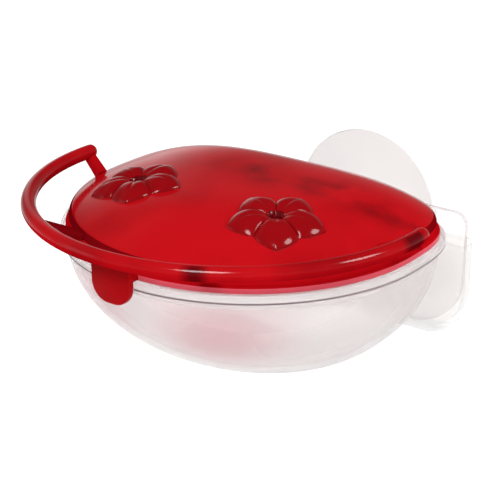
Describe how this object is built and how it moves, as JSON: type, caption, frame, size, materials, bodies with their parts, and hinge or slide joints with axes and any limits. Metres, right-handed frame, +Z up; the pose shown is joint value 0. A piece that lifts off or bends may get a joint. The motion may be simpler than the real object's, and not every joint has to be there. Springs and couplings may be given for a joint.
{
  "type": "window bird feeder",
  "caption": "Window feeder for nectar: clear bowl under a red domed cover with flower-shaped drinking ports and a perch rod, hung from a clear bracket on a suction cup.",
  "frame": {"origin": "middle of the suction cup's face on the window pane", "axes": "+Y points into the pane, so the feeder stands out from it along -Y, and +Z is up"},
  "size_m": [0.1536, 0.1652, 0.0791],
  "materials": {
    "soft_clear_pvc": "soft, clear and slightly hazy",
    "clear_polycarbonate": "clear and polished",
    "red_polycarbonate": "translucent and polished"
  },
  "bodies": {
    "cup": {"suction_cup": "soft_clear_pvc"},
    "bracket": {"window_bracket": "clear_polycarbonate"},
    "feeder": {"nectar_bowl": "clear_polycarbonate", "bowl_hanger": "clear_polycarbonate"},
    "lid": {"cover": "red_polycarbonate", "perch_ring": "red_polycarbonate", "flower_port_left": "red_polycarbonate", "flower_port_right": "red_polycarbonate"}
  },
  "joints": [
    {"name": "bracket_lift", "type": "slide", "parent": "cup", "child": "bracket", "axis": [0, 0, 1], "range_m": [0, 0.015]},
    {"name": "bowl_lift", "type": "slide", "parent": "bracket", "child": "feeder", "axis": [0, 0, 1], "range_m": [0, 0.045]},
    {"name": "cover_lift", "type": "slide", "parent": "feeder", "child": "lid", "axis": [0, 0, 1], "range_m": [0, 0.03]}
  ]
}
